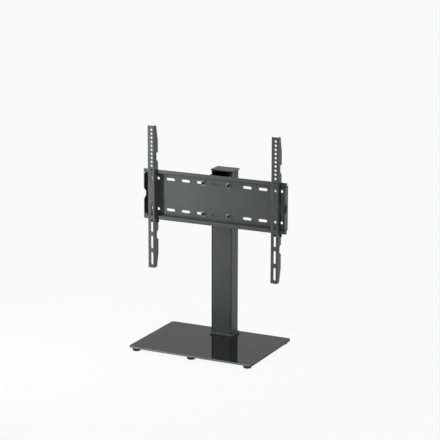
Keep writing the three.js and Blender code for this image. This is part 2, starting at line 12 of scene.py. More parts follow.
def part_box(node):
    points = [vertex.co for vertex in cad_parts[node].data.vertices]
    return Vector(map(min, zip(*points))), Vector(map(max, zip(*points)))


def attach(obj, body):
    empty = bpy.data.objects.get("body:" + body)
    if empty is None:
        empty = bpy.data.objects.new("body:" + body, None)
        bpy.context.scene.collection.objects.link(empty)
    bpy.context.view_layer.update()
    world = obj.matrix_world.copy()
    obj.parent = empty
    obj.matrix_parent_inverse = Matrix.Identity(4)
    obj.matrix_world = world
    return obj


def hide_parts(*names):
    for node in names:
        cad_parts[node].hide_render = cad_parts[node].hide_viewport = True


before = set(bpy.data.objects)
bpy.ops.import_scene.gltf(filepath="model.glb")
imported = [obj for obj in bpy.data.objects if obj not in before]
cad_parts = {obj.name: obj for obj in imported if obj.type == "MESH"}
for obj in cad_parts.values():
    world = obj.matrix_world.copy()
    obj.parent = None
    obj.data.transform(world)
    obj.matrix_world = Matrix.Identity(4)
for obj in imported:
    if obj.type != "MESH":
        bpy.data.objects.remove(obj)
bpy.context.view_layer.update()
scene = bpy.context.scene
scene.view_settings.view_transform = "Standard"

# The view
# A long lens stands to the right of the stand and looks slightly down on it.
image_side = 440
focal_pixels = 1733.99
sensor_width = 36.0
clip_start, clip_end = 0.1, 200.0
view_azimuth = math.radians(26.15)
view_dip = math.radians(13.67)
view_roll = math.radians(0.12)
view_shift = 0.0005
view_place = (2.1848, -4.3869, 1.5781)

camera_data = bpy.data.cameras.new("view")
camera_data.sensor_width = sensor_width
camera_data.lens = sensor_width * focal_pixels / image_side
camera_data.shift_y = view_shift
camera_data.clip_start = clip_start
camera_data.clip_end = clip_end
camera = bpy.data.objects.new("view", camera_data)
camera.location = view_place
view_turn = Matrix.Rotation(view_azimuth, 3, "Z") @ Matrix.Rotation(math.pi / 2 - view_dip, 3, "X")
camera.rotation_euler = (view_turn @ Matrix.Rotation(view_roll, 3, "Z")).to_euler()
scene.collection.objects.link(camera)
scene.camera = camera

# Pale floor
# A wide matt sheet that reads as white to the eye, in mirrors and through glass, and still takes a
# soft shadow from the stand.
floor_reach = 40.0
floor_grey = (0.5, 0.5, 0.5, 1)
floor_glow = 1.0
floor_glow_share = 0.93


def add_node(tree, kind, feeds=None, **settings):
    """Adds a node with its settings, and feeds its inputs with values or other nodes' outputs."""
    node = tree.nodes.new(kind)
    for name, value in settings.items():
        setattr(node, name, value)
    for name, value in (feeds or {}).items():
        if isinstance(value, bpy.types.NodeSocket):
            tree.links.new(value, node.inputs[name])
        else:
            node.inputs[name].default_value = value
    return node


def calculate(tree, operation, first, second=0.0):
    """The result of a sum with one or two values."""
    return add_node(tree, "ShaderNodeMath", {0: first, 1: second}, operation=operation).outputs[0]


def new_finish(name, build, **values):
    """A material whose surface is the shader that build makes in its tree from some values."""
    material = bpy.data.materials.new(name)
    material.use_nodes = True
    tree = material.node_tree
    tree.nodes.clear()
    output = tree.nodes.new("ShaderNodeOutputMaterial")
    tree.links.new(build(tree, **values).outputs[0], output.inputs["Surface"])
    return material


def seen_rays(tree):
    """One for rays from the camera, and for those that it sees in a mirror or through glass."""
    path = add_node(tree, "ShaderNodeLightPath").outputs
    mirrored = calculate(tree, "MAXIMUM", path["Is Camera Ray"], path["Is Glossy Ray"])
    return calculate(tree, "MAXIMUM", mirrored, path["Is Transmission Ray"])


def floor_paper(tree):
    paper = add_node(tree, "ShaderNodeBsdfDiffuse", {"Color": floor_grey})
    glow = add_node(tree, "ShaderNodeEmission", {"Strength": floor_glow})
    share = calculate(tree, "MULTIPLY", seen_rays(tree), floor_glow_share)
    return add_node(tree, "ShaderNodeMixShader", {
        0: share, 1: paper.outputs[0], 2: glow.outputs[0],
    })


floor_mesh = bpy.data.meshes.new("floor")
floor_mesh.from_pydata(
    [(x * floor_reach, y * floor_reach, 0) for x, y in ((-1, -1), (1, -1), (1, 1), (-1, 1))],
    [], [(0, 1, 2, 3)],
)
floor_mesh.materials.append(new_finish("floor_paper", floor_paper))
floor = bpy.data.objects.new("floor", floor_mesh)
scene.collection.objects.link(floor)

# Studio light
# A dim room with a white horizon and a brighter ceiling, paler towards the back left. A narrow lamp
# stands close by on the left in front, and two large weak ones on the right and high at the back.
room_horizon = 1.0
room_zenith = 0.70
room_walls = (0.05, 0.48)
pale_side = (-0.6, 0.8, 0.0)
turn_limits = (-0.5, 0.5)
horizon_limits = (0.06, 0.11)
ceiling_limits = (0.38, 0.75)


def spread(tree, value, levels, limits=(0.0, 1.0), curve="LINEAR"):
    """Spreads a value that runs from one limit to the other over two levels."""
    return add_node(tree, "ShaderNodeMapRange", {
        "Value": value, "From Min": limits[0], "From Max": limits[1],
        "To Min": levels[0], "To Max": levels[1],
    }, interpolation_type=curve).outputs["Result"]


def pale_room():
    world = bpy.data.worlds.new("pale_room")
    world.use_nodes = True
    tree = world.node_tree
    tree.nodes.clear()
    output = tree.nodes.new("ShaderNodeOutputWorld")
    direction = add_node(tree, "ShaderNodeTexCoord").outputs["Generated"]
    height = add_node(tree, "ShaderNodeSeparateXYZ", {0: direction}).outputs["Z"]
    turn = add_node(tree, "ShaderNodeVectorMath", {
        0: direction, 1: pale_side,
    }, operation="DOT_PRODUCT").outputs["Value"]
    wall = spread(tree, turn, room_walls, turn_limits, "SMOOTHSTEP")
    above = spread(tree, height, (room_horizon, wall), horizon_limits, "SMOOTHSTEP")
    level = spread(tree, height, (above, room_zenith), ceiling_limits, "SMOOTHSTEP")
    room = add_node(tree, "ShaderNodeBackground", {"Color": (1, 1, 1, 1), "Strength": level})
    tree.links.new(room.outputs[0], output.inputs["Surface"])
    return world


def soft_lamp(name, place, aim, size, power):
    lamp = bpy.data.lights.new(name, "AREA")
    lamp.shape = "RECTANGLE"
    lamp.size, lamp.size_y = size
    lamp.energy = power
    stand_in = bpy.data.objects.new(name, lamp)
    stand_in.location = place
    stand_in.rotation_euler = (Vector(aim) - Vector(place)).to_track_quat("-Z", "Y").to_euler()
    scene.collection.objects.link(stand_in)


scene.world = pale_room()
soft_lamp(
    "key_lamp", place=(-0.56, -0.57, 0.60), aim=(0.0, 0.04, 0.42), size=(0.11, 1.10), power=5.4,
)
soft_lamp(
    "fill_lamp", place=(2.6, -0.45, 0.8), aim=(0.0, 0.08, 0.35), size=(1.6, 1.6), power=14.0,
)
soft_lamp(
    "rear_lamp", place=(-0.9, 1.5, 1.5), aim=(0.0, 0.08, 0.40), size=(1.0, 1.0), power=2.2,
)

# Glass base
# A sheet of toughened glass, painted black on its underside, with rounded corners and a ground edge
# that is more matt at the sides. The edge is pale at the front and back, partly its own ground grey
# and partly painted light, and painted shade makes it darker at the sides. Four bolts pass through
# it under the column.
MM = 0.001
glass_corner = 12.0
glass_arris = 0.8
arris_round = 0.3
glass_corner_steps = 12
glass_hole_radius = 4.5
glass_hole_sides = 32
screw_spread = 48.0
screw_row = 24.0
least_bend = 0.01
soft_edge_steps = 2
soft_edge_angle = math.radians(32)
glass_black = (0.012, 0.012, 0.013, 1)
# The edge's pale grey is partly the ground glass and partly painted light; the darker side grey is
# painted shade.
glass_edge_pale_and_painted_light = (0.20, 0.215, 0.21, 1)
glass_side_painted_shade = (0.020, 0.022, 0.022, 1)
glass_face_roughness = (0.012, 0.045)
glass_edge_roughness = (0.10, 0.22)
glass_side_roughness = (0.45, 0.60)
glass_edge_limits = (0.35, 0.93)
glass_side_shade_limits = (0.45, 0.85)
glass_cloud_limits = (0.35, 0.75)
glass_gloss = 0.5
glass_ior = 1.52


def corners_of(*nodes):
    """The lowest and the highest corner of some nodes together, in millimetres."""
    boxes = [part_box(node) for node in nodes]
    low = Vector([min(box[0][i] for box in boxes) for i in range(3)]) / MM
    high = Vector([max(box[1][i] for box in boxes) for i in range(3)]) / MM
    return low, high


def rounded_outline(corners, steps):
    """A closed outline through corners given as (across, up, radius), each rounded by an arc."""
    points = []
    for i, (across, up, radius) in enumerate(corners):
        here = Vector((across, up))
        back = (Vector(corners[i - 1][:2]) - here).normalized()
        ahead = (Vector(corners[(i + 1) % len(corners)][:2]) - here).normalized()
        if radius == 0:
            points.append(here)
            continue
        half = math.acos(max(-1.0, min(1.0, back.dot(ahead)))) / 2
        middle = here + (back + ahead).normalized() * radius / math.sin(half)
        start = here + back * radius / math.tan(half) - middle
        end = here + ahead * radius / math.tan(half) - middle
        first = math.atan2(start.y, start.x)
        sweep = (math.atan2(end.y, end.x) - first + math.pi) % (2 * math.pi) - math.pi
        for k in range(steps + 1):
            turn = first + sweep * k / steps
            points.append(middle + radius * Vector((math.cos(turn), math.sin(turn))))
    return points


def rounded_box(low, high, radius, steps):
    """The outline of a rectangle with round corners, as a function of how far it reaches out."""
    def outline(reach=0.0):
        bend = max(radius + reach, least_bend)
        left, near = low[0] - reach, low[1] - reach
        right, far = high[0] + reach, high[1] + reach
        corners = [(left, near, bend), (right, near, bend), (right, far, bend), (left, far, bend)]
        return rounded_outline(corners, steps)
    return outline


def stacked(levels, outline, closed=False):
    """Outlines at levels given as (reach, height), skinned into a solid, or a ring if closed."""
    mesh = bmesh.new()
    rings = [
        [mesh.verts.new((x, y, height)) for x, y in outline(reach)] for reach, height in levels
    ]
    following = rings[1:] + rings[:1] if closed else rings[1:]
    for lower, upper in zip(rings, following):
        for i in range(len(lower)):
            mesh.faces.new((lower[i - 1], lower[i], upper[i], upper[i - 1]))
    if not closed:
        mesh.faces.new(rings[0])
        mesh.faces.new(rings[-1])
    bmesh.ops.recalc_face_normals(mesh, faces=mesh.faces)
    return mesh


def as_object(name, mesh):
    """A bmesh, still in millimetres, as an object in the scene."""
    data = bpy.data.meshes.new(name)
    mesh.to_mesh(data)
    mesh.free()
    piece = bpy.data.objects.new(name, data)
    scene.collection.objects.link(piece)
    return piece


def bake(piece):
    """Turns a piece and its modifiers into one plain mesh."""
    bpy.context.view_layer.update()
    shaped = piece.evaluated_get(bpy.context.evaluated_depsgraph_get())
    data = bpy.data.meshes.new_from_object(shaped)
    piece.modifiers.clear()
    piece.data = data


def seat(piece, finish, slot, body, *nodes, edge=0.0):
    """Softens a piece's edges, turns it into metres, dresses it, and seats it on its body."""
    for face in piece.data.polygons:
        face.use_smooth = True
    if edge:
        bevel = piece.modifiers.new("soft edge", "BEVEL")
        bevel.width = edge
        bevel.segments = soft_edge_steps
        bevel.limit_method = "ANGLE"
        bevel.angle_limit = soft_edge_angle
        bevel.use_clamp_overlap = True
    shading = piece.modifiers.new("flat faces stay flat", "WEIGHTED_NORMAL")
    shading.keep_sharp = True
    bake(piece)
    piece.data.transform(Matrix.Scale(MM, 4))
    piece.data.materials.clear()
    piece.data.materials.append(finish)
    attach(piece, body)
    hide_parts(*nodes)


def new_tree(name, kind, inputs, outputs):
    """A node group whose named inputs and outputs are given with their kinds of socket."""
    tree = bpy.data.node_groups.new(name, kind)
    for way, sockets in (("INPUT", inputs), ("OUTPUT", outputs)):
        for label, socket in sockets.items():
            tree.interface.new_socket(label, in_out=way, socket_type="NodeSocket" + socket)
    return tree, tree.nodes.new("NodeGroupInput"), tree.nodes.new("NodeGroupOutput")


def on_points(tree, points, piece):
    """A copy of a piece on every point, as real geometry."""
    copies = add_node(tree, "GeometryNodeInstanceOnPoints", {"Points": points, "Instance": piece})
    return add_node(tree, "GeometryNodeRealizeInstances", {
        "Geometry": copies.outputs["Instances"],
    }).outputs["Geometry"]


def put_out_dressed(tree, geometry, given, result):
    """Ends a tree with real geometry in the finish that it was given."""
    plain = add_node(tree, "GeometryNodeRealizeInstances", {"Geometry": geometry})
    dressed = add_node(tree, "GeometryNodeSetMaterial", {
        "Geometry": plain.outputs["Geometry"], "Material": given["Finish"],
    })
    tree.links.new(dressed.outputs["Geometry"], result.inputs[0])
    return tree


def perforation_tree():
    """Cuts a row of round or long holes through a sheet."""
    tree, given, result = new_tree("perforations", "GeometryNodeTree", {
        "Sheet": "Geometry", "Holes": "Int", "First Hole": "Vector", "Step": "Vector",
        "Radius": "Float", "Half Stretch": "Vector", "Cutter Turn": "Vector",
        "Cutter Length": "Float", "Sides": "Int", "Finish": "Material",
    }, {"Sheet": "Geometry"})
    given = given.outputs
    drill = add_node(tree, "GeometryNodeMeshCylinder", {
        "Vertices": given["Sides"], "Radius": given["Radius"], "Depth": given["Cutter Length"],
    })
    turned_drill = add_node(tree, "GeometryNodeTransform", {
        "Geometry": drill.outputs["Mesh"], "Rotation": given["Cutter Turn"],
    })
    back, whole = (add_node(tree, "ShaderNodeVectorMath", {
        0: given["Half Stretch"], "Scale": share,
    }, operation="SCALE").outputs[0] for share in (-1.0, 2.0))
    ends = add_node(tree, "GeometryNodeMeshLine", {
        "Count": 2, "Start Location": back, "Offset": whole,
    })
    pair = on_points(tree, ends.outputs["Mesh"], turned_drill.outputs["Geometry"])
    cutter = add_node(tree, "GeometryNodeConvexHull", {"Geometry": pair})
    row = add_node(tree, "GeometryNodeMeshLine", {
        "Count": given["Holes"], "Start Location": given["First Hole"], "Offset": given["Step"],
    })
    cutters = on_points(tree, row.outputs["Mesh"], cutter.outputs["Convex Hull"])
    cut = add_node(tree, "GeometryNodeMeshBoolean", {
        "Mesh 1": given["Sheet"], "Mesh 2": cutters,
    }, operation="DIFFERENCE", solver="EXACT")
    return put_out_dressed(tree, cut.outputs["Mesh"], given, result)


def grow(target, tree, **values):
    """Runs a geometry tree on a piece, with its named inputs set, and bakes the result."""
    modifier = target.modifiers.new(tree.name, "NODES")
    modifier.node_group = tree
    sockets = {s.name: s for s in tree.interface.items_tree if s.in_out == "INPUT"}
    for name, value in values.items():
        modifier[sockets[name.replace("_", " ").title()].identifier] = value
    bake(target)


perforations = perforation_tree()
unturned = (0.0, 0.0, 0.0)
through_y = (math.pi / 2, 0.0, 0.0)
one_round_hole = {
    "holes": 1, "step": (0.0, 0.0, 0.0), "half_stretch": (0.0, 0.0, 0.0), "cutter_turn": through_y,
}
glass_low, glass_high = corners_of("glass_base")
column_low, column_high = corners_of("column")
foot_middle_y = (column_low.y + column_high.y) / 2


def perforate(piece, **values):
    """Cuts one round hole towards the back, or what the values say instead."""
    grow(piece, perforations, **{**one_round_hole, **values})


def bolt_holes(piece, low, high, radius, finish):
    """Drills the four holes for the base screws through a flat piece."""
    for row in (-1, 1):
        perforate(
            piece, holes=2, step=(screw_spread, 0.0, 0.0),
            first_hole=(-screw_spread / 2, foot_middle_y + row * screw_row / 2, (low + high) / 2),
            radius=radius, cutter_turn=unturned, cutter_length=2 * (high - low),
            sides=glass_hole_sides, finish=finish,
        )


def noise(tree, place, scale, detail, roughness, distortion=0.0):
    return add_node(tree, "ShaderNodeTexNoise", {
        "Vector": place, "Scale": scale, "Detail": detail, "Roughness": roughness,
        "Distortion": distortion,
    }).outputs["Fac"]


def put_out(tree, result, **values):
    """Gives a node group its named results."""
    for name, value in values.items():
        tree.links.new(value, result.inputs[name])
    return tree


def smudge_group():
    """Faint wipe marks and specks: a slow cloud and a fine grain, both from object coordinates."""
    tree, given, result = new_tree("wipe_marks", "ShaderNodeTree", {
        "Cloud Scale": "Float", "Grain Scale": "Float",
    }, {"Cloud": "Float", "Grain": "Float"})
    place = add_node(tree, "ShaderNodeTexCoord").outputs["Object"]
    cloud = noise(
        tree, place, given.outputs["Cloud Scale"], detail=3.0, roughness=0.55, distortion=0.8,
    )
    grain = noise(tree, place, given.outputs["Grain Scale"], detail=2.0, roughness=0.6)
    return put_out(tree, result, Cloud=cloud, Grain=grain)


wipe_marks = smudge_group()


def marks_on(tree, cloud_scale, grain_scale):
    """The wipe marks in a material's tree, as their outputs."""
    return add_node(tree, "ShaderNodeGroup", {
        "Cloud Scale": cloud_scale, "Grain Scale": grain_scale,
    }, node_tree=wipe_marks).outputs


def blend_values(tree, share, first, second):
    return add_node(tree, "ShaderNodeMix", {0: share, 2: first, 3: second}).outputs[0]


def blend_colours(tree, share, first, second):
    return add_node(tree, "ShaderNodeMix", {
        0: share, 6: first, 7: second,
    }, data_type="RGBA").outputs[2]


def black_glass(tree):
    marks = marks_on(tree, cloud_scale=11.0, grain_scale=1400.0)
    facing = add_node(tree, "ShaderNodeTexCoord").outputs["Normal"]
    lean = add_node(tree, "ShaderNodeSeparateXYZ", {0: facing}).outputs
    edge = spread(tree, calculate(tree, "ABSOLUTE", lean["Z"]), (1.0, 0.0), glass_edge_limits)
    # Painted shade: the ground edge is darker on the sides than at the front and back.
    side = spread(tree, calculate(tree, "ABSOLUTE", lean["X"]), (0.0, 1.0), glass_side_shade_limits)
    edge_colour_with_painted_light = blend_colours(tree, side, glass_edge_pale_and_painted_light, glass_side_painted_shade)
    ground_roughness = blend_values(
        tree, side, spread(tree, marks["Grain"], glass_edge_roughness),
        spread(tree, marks["Grain"], glass_side_roughness),
    )
    face_roughness = spread(tree, marks["Cloud"], glass_face_roughness, glass_cloud_limits)
    return add_node(tree, "ShaderNodeBsdfPrincipled", {
        "Base Color": blend_colours(tree, edge, glass_black, edge_colour_with_painted_light),
        "Roughness": blend_values(tree, edge, face_roughness, ground_roughness),
        "Specular IOR Level": glass_gloss,
        "IOR": glass_ior,
    })


def glass_sheet():
    soft = glass_arris * arris_round
    return stacked([
        (-glass_arris, glass_low.z), (-soft, glass_low.z + soft),
        (0, glass_low.z + glass_arris), (0, glass_high.z - glass_arris),
        (-soft, glass_high.z - soft), (-glass_arris, glass_high.z),
    ], rounded_box(glass_low, glass_high, glass_corner, glass_corner_steps))


glass_finish = new_finish("black_glass", black_glass)
glass = as_object("black_glass_sheet", glass_sheet())
bolt_holes(glass, glass_low.z, glass_high.z, glass_hole_radius, glass_finish)
seat(glass, glass_finish, "black_glass", "stand", "glass_base")

# Feet
# Five turned rubber buttons, glued under the glass, with a soft lower edge and a shallow hollow
# that grips the table.
foot_names = [
    "front_left_foot", "front_centre_foot", "front_right_foot", "rear_left_foot", "rear_right_foot",
]
foot_low_radius = 12.0
foot_soft_edge = 1.6
foot_soft_steps = 5
foot_hollow_radius = 6.5
foot_hollow_depth = 0.6
foot_top_edge = 0.4
foot_top_steps = 3
foot_side_lean = 5
foot_sides = 48
rubber_black = (0.012, 0.012, 0.012, 1)
rubber_worn = (0.030, 0.030, 0.031, 1)
rubber_roughness = (0.62, 0.88)
on_axis = 1e-6


def arc(across, up, radius, first, last, steps):
    """Points along an arc, with its angles in degrees."""
    turns = [math.radians(first + (last - first) * k / steps) for k in range(steps + 1)]
    return [(across + radius * math.cos(turn), up + radius * math.sin(turn)) for turn in turns]


def turned(profile, sides, closed=False):
    """A piece turned round Z from (radius, height) points: from the axis back to it, or a ring."""
    mesh = bmesh.new()
    turns = [2 * math.pi * k / sides for k in range(sides)]
    rings = []
    for radius, height in profile:
        if radius < on_axis:
            rings.append([mesh.verts.new((0, 0, height))] * sides)
        else:
            rings.append([
                mesh.verts.new((radius * math.cos(turn), radius * math.sin(turn), height))
                for turn in turns
            ])
    following = rings[1:] + rings[:1] if closed else rings[1:]
    for lower, upper in zip(rings, following):
        for i in range(sides):
            around = [lower[i - 1], lower[i], upper[i], upper[i - 1]]
            corners = list(dict.fromkeys(around))
            if len(corners) > 2:
                mesh.faces.new(corners)
    bmesh.ops.recalc_face_normals(mesh, faces=mesh.faces)
    return mesh


def copies_tree():
    """Sets one piece down on every point of a mesh."""
    tree, given, result = new_tree("copies_on_points", "GeometryNodeTree", {
        "Points": "Geometry", "Pattern": "Object", "Turn": "Vector", "Finish": "Material",
    }, {"Copies": "Geometry"})
    given = given.outputs
    source = add_node(tree, "GeometryNodeObjectInfo", {"Object": given["Pattern"]})
    turn = add_node(tree, "FunctionNodeEulerToRotation", {0: given["Turn"]})
    copies = add_node(tree, "GeometryNodeInstanceOnPoints", {
        "Points": given["Points"], "Instance": source.outputs["Geometry"],
        "Rotation": turn.outputs[0],
    })
    return put_out_dressed(tree, copies.outputs["Instances"], given, result)


copies_on_points = copies_tree()


def middles(names):
    """The middles of some nodes' boxes, in millimetres."""
    return [sum(corners_of(name), Vector()) / 2 for name in names]


def seat_copies(name, pattern, places, turn, finish, slot, body, *nodes):
    """Sets a copy of the pattern piece down at each place, and seats them all as one piece."""
    points = bmesh.new()
    for place in places:
        points.verts.new(place)
    piece = as_object(name, points)
    grow(piece, copies_on_points, pattern=pattern, turn=turn, finish=finish)
    bpy.data.objects.remove(pattern)
    seat(piece, finish, slot, body, *nodes)


def bumps(tree, height, strength, distance=0.0001):
    return add_node(tree, "ShaderNodeBump", {
        "Height": height, "Strength": strength, "Distance": distance,
    }).outputs["Normal"]


def moulded_rubber(tree):
    marks = marks_on(tree, cloud_scale=90.0, grain_scale=2200.0)
    return add_node(tree, "ShaderNodeBsdfPrincipled", {
        "Base Color": blend_colours(tree, marks["Cloud"], rubber_black, rubber_worn),
        "Roughness": spread(tree, marks["Cloud"], rubber_roughness),
        "Normal": bumps(tree, marks["Grain"], strength=0.25, distance=0.0002),
    })


def rubber_foot():
    low, high = corners_of("front_left_foot")
    radius = (high.x - low.x) / 2
    profile = [
        (0, foot_hollow_depth), (foot_hollow_radius - foot_hollow_depth, foot_hollow_depth),
        (foot_hollow_radius, 0),
    ]
    profile += arc(
        foot_low_radius - foot_soft_edge, foot_soft_edge, foot_soft_edge, -90, 0, foot_soft_steps,
    )
    profile += arc(
        radius - foot_top_edge, high.z - foot_top_edge, foot_top_edge, foot_side_lean, 90,
        foot_top_steps,
    )
    profile += [(0, high.z)]
    return turned(profile, foot_sides)


rubber_finish = new_finish("moulded_rubber", moulded_rubber)
seat_copies(
    "rubber_feet", as_object("foot", rubber_foot()), [(m.x, m.y, 0.0) for m in middles(foot_names)],
    unturned, rubber_finish, "rubber", "stand", *foot_names,
)

# Clamp under the column
# Rubber gaskets lie above and below the glass, and a flat steel plate under them is drawn up by
# four pan-head screws that end in the column's foot plate.
gasket_bend = 1.2
gasket_edge = 0.15
clamp_corner = 8.0
clamp_hole_radius = 3.35
clamp_steps = 8
sheet_edge = 0.25
fleck_share = 1.7
paint_cloud_scale = 9.0
paint_edge_samples = 6
# The paler paint along edges is partly thinner paint and partly a painted highlight.
edge_thinning_and_highlight_limits = (0.80, 0.99)
edge_thinning_and_highlight_share = 0.6
middle_limits = (0.3, 0.7)


def powder_group():
    """Baked powder paint's skin: orange-peel grain, slow clouds, and edges of thin paint and
    painted highlight.
    """
    tree, given, result = new_tree("powder_skin", "ShaderNodeTree", {
        "Grain Scale": "Float", "Edge Width": "Float",
    }, {"Height": "Float", "Cloud": "Float", "Edge": "Float"})
    place = add_node(tree, "ShaderNodeTexCoord").outputs["Object"]
    grain = given.outputs["Grain Scale"]
    peel = noise(tree, place, grain, detail=3.0, roughness=0.5)
    fleck = add_node(tree, "ShaderNodeTexVoronoi", {
        "Vector": place, "Scale": calculate(tree, "MULTIPLY", grain, fleck_share),
    }, feature="SMOOTH_F1")
    cloud = noise(tree, place, paint_cloud_scale, detail=4.0, roughness=0.6, distortion=0.4)
    round_edge = add_node(tree, "ShaderNodeBevel", {
        "Radius": given.outputs["Edge Width"],
    }, samples=paint_edge_samples)
    facing = add_node(tree, "ShaderNodeNewGeometry")
    agree = add_node(tree, "ShaderNodeVectorMath", {
        0: round_edge.outputs["Normal"], 1: facing.outputs["Normal"],
    }, operation="DOT_PRODUCT")
    return put_out(
        tree, result, Height=calculate(tree, "ADD", peel, fleck.outputs["Distance"]), Cloud=cloud,
        Edge=spread(tree, agree.outputs["Value"], (1.0, 0.0), edge_thinning_and_highlight_limits),
    )


powder_skin = powder_group()


def baked_paint(tree, dark, light, thin, roughness, gloss, grain, depth, edge_width):
    """Paint that drifts between two darks and turns paler along the edges: thinner paint and a
    painted highlight.
    """
    skin = add_node(tree, "ShaderNodeGroup", {
        "Grain Scale": grain, "Edge Width": edge_width,
    }, node_tree=powder_skin).outputs
    body = blend_colours(tree, spread(tree, skin["Cloud"], (0.0, 1.0), middle_limits), dark, light)
    # Paler edges: partly thinner paint there, partly a painted highlight that ignores where the
    # lamps are.
    bare_and_lit_edge = calculate(tree, "MULTIPLY", skin["Edge"], edge_thinning_and_highlight_share)
    return add_node(tree, "ShaderNodeBsdfPrincipled", {
        "Base Color": blend_colours(tree, bare_and_lit_edge, body, thin),
        "Roughness": spread(tree, skin["Cloud"], roughness, middle_limits),
        "Specular IOR Level": gloss,
        "Normal": bumps(tree, skin["Height"], depth),
    })


powder_finish = new_finish(
    "powder_coated_steel", baked_paint, dark=(0.058, 0.059, 0.061, 1),
    light=(0.068, 0.069, 0.071, 1), thin=(0.105, 0.107, 0.110, 1), roughness=(0.43, 0.54),
    gloss=0.45, grain=1100.0, depth=0.35, edge_width=0.0007,
)
for node, bend in (("upper_gasket", gasket_bend), ("lower_gasket", clamp_corner)):
    low, high = corners_of(node)
    gasket = as_object(node + "_pad", stacked(
        [(0, low.z), (0, high.z)], rounded_box(low, high, bend, clamp_steps),
    ))
    bolt_holes(gasket, low.z, high.z, glass_hole_radius, rubber_finish)
    seat(gasket, rubber_finish, "rubber", "stand", node, edge=gasket_edge)

clamp_low, clamp_high = corners_of("clamp_plate")
clamp = as_object("steel_clamp", stacked(
    [(0, clamp_low.z), (0, clamp_high.z)],
    rounded_box(clamp_low, clamp_high, clamp_corner, clamp_steps),
))
bolt_holes(clamp, clamp_low.z, clamp_high.z, clamp_hole_radius, powder_finish)
seat(clamp, powder_finish, "powder_black", "stand", "clamp_plate", edge=sheet_edge)

# Base screws
# Zinc-plated pan-head machine screws with a tapered cross recess and a rolled thread.
screw_radius = 3.0
screw_head_radius = 5.5
screw_head_height = 2.6
screw_tip = 0.6
screw_sides = 40
pan_round = 1.4
pan_steps = 6
pan_edge = 0.2
recess_reach = 3.0
recess_width = 1.4
recess_depth = 2.2
recess_taper = 0.45
recess_overrun = 1.0
thread_pitch = 1.0
thread_depth = 0.3
thread_bite = 0.1
thread_end = 0.8
thread_ends = 1.5
thread_steps = 20
thread_ridge_sides = 4


def box_outline(left, right, low, high):
    return [(left, low), (right, low), (right, high), (left, high)]


def thread_tree():
    """Winds a ridge round a plain shank, from its tip back towards the head."""
    tree, given, result = new_tree("rolled_thread", "GeometryNodeTree", {
        "Shank": "Geometry", "Radius": "Float", "Ridge": "Float", "Pitch": "Float",
        "Turns": "Float", "Start": "Vector", "Finish": "Material",
    }, {"Bolt": "Geometry"})
    given = given.outputs
    helix = add_node(tree, "GeometryNodeCurveSpiral", {
        "Resolution": thread_steps, "Rotations": given["Turns"],
        "Start Radius": given["Radius"], "End Radius": given["Radius"],
        "Height": calculate(tree, "MULTIPLY", given["Pitch"], given["Turns"]),
    })
    ridge = add_node(tree, "GeometryNodeCurvePrimitiveCircle", {
        "Resolution": thread_ridge_sides, "Radius": given["Ridge"],
    })
    wound = add_node(tree, "GeometryNodeCurveToMesh", {
        "Curve": helix.outputs["Curve"], "Profile Curve": ridge.outputs["Curve"], "Fill Caps": True,
    })
    placed = add_node(tree, "GeometryNodeTransform", {
        "Geometry": wound.outputs["Mesh"], "Translation": given["Start"],
    })
    both = add_node(tree, "GeometryNodeJoinGeometry")
    tree.links.new(given["Shank"], both.inputs["Geometry"])
    tree.links.new(placed.outputs["Geometry"], both.inputs["Geometry"])
    return put_out_dressed(tree, both.outputs["Geometry"], given, result)


rolled_thread = thread_tree()


def reshape(piece, how, tool):
    """Cuts, keeps or joins a piece with a tool piece, and bakes the result."""
    change = piece.modifiers.new("reshape", "BOOLEAN")
    change.operation = how
    change.object = tool
    change.solver = "EXACT"
    bake(piece)
    bpy.data.objects.remove(tool)


def pan_screw(name, radius, length, head_radius, head_height, recess, finish):
    """A pan-head bolt along +Z, with its head below z = 0, a cross recess and a rolled thread."""
    profile = [(0, -head_height)]
    profile += arc(
        head_radius - pan_round, -head_height + pan_round, pan_round, -90, 0, pan_steps,
    )
    profile += [(head_radius, -pan_edge), (head_radius - pan_edge, 0), (radius, 0)]
    profile += [(radius, length - screw_tip), (radius - screw_tip, length), (0, length)]
    bolt = as_object(name, turned(profile, screw_sides))
    wide = recess_width / 2
    for turn in (0, math.pi / 2):
        blade = stacked([
            (recess + recess_overrun * recess_taper, -head_height - recess_overrun),
            (recess - recess_depth * recess_taper, -head_height + recess_depth),
        ], lambda reach: box_outline(-reach, reach, -wide, wide))
        blade.transform(Matrix.Rotation(turn, 4, "Z"))
        reshape(bolt, "DIFFERENCE", as_object("blade", blade))
    turns = math.floor((length - thread_ends) / thread_pitch)
    grow(
        bolt, rolled_thread, radius=radius - thread_bite, ridge=thread_depth, pitch=thread_pitch,
        turns=float(turns), start=(0.0, 0.0, length - thread_end - turns * thread_pitch),
        finish=finish,
    )
    return bolt


def plated(tree, pale, dull, roughness, metallic, spangle):
    """Plated steel: soft spangles of two tones under a thin, slightly scuffed shine."""
    place = add_node(tree, "ShaderNodeTexCoord").outputs["Object"]
    grains = add_node(tree, "ShaderNodeTexVoronoi", {"Vector": place, "Scale": spangle})
    marks = marks_on(tree, cloud_scale=160.0, grain_scale=2600.0)
    tone = add_node(tree, "ShaderNodeSeparateColor", {0: grains.outputs["Color"]})
    return add_node(tree, "ShaderNodeBsdfPrincipled", {
        "Base Color": blend_colours(tree, tone.outputs[0], dull, pale),
        "Roughness": spread(tree, marks["Cloud"], roughness, middle_limits),
        "Metallic": metallic,
        "Normal": bumps(tree, marks["Grain"], strength=0.12),
    })


def four_nodes(stem):
    return [f"{stem}_{i + 1}" for i in range(4)]


